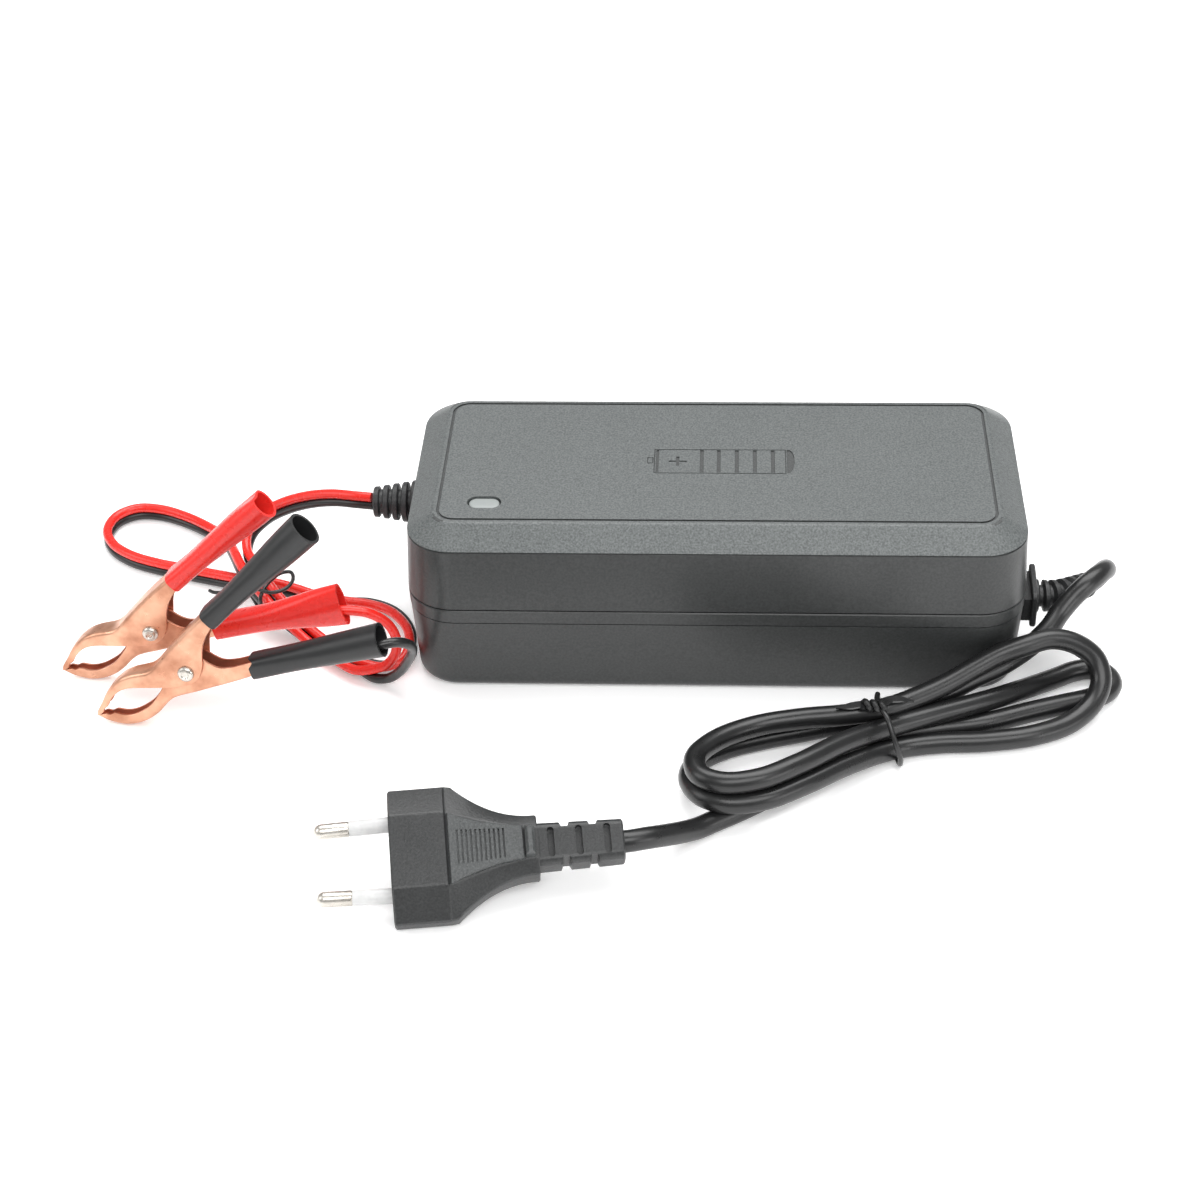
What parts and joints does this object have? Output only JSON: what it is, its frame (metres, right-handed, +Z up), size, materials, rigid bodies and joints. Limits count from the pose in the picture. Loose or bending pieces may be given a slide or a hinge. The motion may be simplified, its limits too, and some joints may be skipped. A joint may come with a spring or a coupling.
{
  "type": "car battery charger",
  "caption": "Low rectangular power supply in a chamfered two-shell case, with a tied mains lead and flat plug, and a tied twin lead ending in sprung clips.",
  "frame": {"origin": "on the floor under the middle of the case", "axes": "+X along the case towards the mains lead, -Y is the case's front, +Z up"},
  "size_m": [0.299, 0.1799, 0.0658],
  "materials": {
    "case": "fine-textured charcoal ABS, satin sides",
    "black_rubber": "semi-gloss black PVC",
    "red_pvc": "soft red PVC",
    "copper_plate": "light copper-plated steel sheet",
    "steel": "nickel-plated steel",
    "plug": "fine-textured dark grey PVC",
    "white_plastic": "white moulded sleeve",
    "lens": "pale translucent lens",
    "board": "green solder mask",
    "ferrite": "dark grey ferrite",
    "aluminium": "plain extruded aluminium",
    "tape": "yellow film",
    "can": "dark blue sleeve",
    "ceramic": "dipped ceramic",
    "epoxy": "black moulding compound",
    "glass": "clear glass",
    "magnet_wire": "enamelled copper wire",
    "fish_paper": "insulating paper"
  },
  "bodies": {
    "charger": {"base_shell": "case", "top_cover": "case", "led_window": "lens", "case_screw_1": "steel", "case_screw_2": "steel", "case_screw_3": "steel", "case_screw_4": "steel", "ac_strain_relief": "black_rubber", "dc_strain_relief": "black_rubber", "circuit_board": "board", "insulating_sheet": "fish_paper", "board_screw_1": "steel", "board_screw_2": "steel", "mains_fuse": "glass", "inrush_thermistor": "ceramic", "x_capacitor": "tape", "common_mode_choke": "magnet_wire", "bridge_rectifier": "epoxy", "bulk_capacitor": "can", "primary_heatsink": "aluminium", "switching_transistor": "epoxy", "transformer_core": "ferrite", "transformer_winding": "tape", "y_capacitor": "ceramic", "optocoupler": "epoxy", "control_chip": "epoxy", "output_heatsink": "aluminium", "output_diode": "epoxy", "output_capacitor_1": "can", "output_capacitor_2": "can", "output_inductor": "magnet_wire", "status_led": "lens", "mains_lead_first_run": "black_rubber", "mains_lead_hank": "black_rubber", "mains_lead_last_run": "black_rubber", "mains_lead_tie": "black_rubber", "plug_body": "plug", "plug_pin_1": "steel", "plug_pin_sleeve_1": "white_plastic", "plug_pin_2": "steel", "plug_pin_sleeve_2": "white_plastic", "dc_lead_red": "red_pvc", "dc_lead_black": "black_rubber", "dc_lead_tie": "black_rubber", "black_clip_lower_jaw": "copper_plate", "black_clip_rivet": "steel", "black_clip_spring": "steel", "black_clip_lower_sleeve": "black_rubber", "red_clip_lower_jaw": "copper_plate", "red_clip_rivet": "steel", "red_clip_spring": "steel", "red_clip_lower_sleeve": "red_pvc"},
    "black_clip": {"black_clip_upper_jaw": "copper_plate", "black_clip_upper_sleeve": "black_rubber"},
    "red_clip": {"red_clip_upper_jaw": "copper_plate", "red_clip_upper_sleeve": "red_pvc"}
  },
  "joints": [
    {"name": "black_clip_jaw", "type": "hinge", "parent": "charger", "child": "black_clip", "pos_m": [-0.1423, -0.053, 0.0191], "axis": [0.0978, 0.9799, -0.1736], "range_deg": [0, 27], "stiffness_Nm_per_rad": 0.5, "springref_deg": -28.65, "deforming": ["black_clip_spring"]},
    {"name": "red_clip_jaw", "type": "hinge", "parent": "charger", "child": "red_clip", "pos_m": [-0.156, -0.034, 0.0183], "axis": [0.0694, 0.9928, -0.0976], "range_deg": [0, 27], "stiffness_Nm_per_rad": 0.5, "springref_deg": -28.65, "deforming": ["red_clip_spring"]}
  ]
}
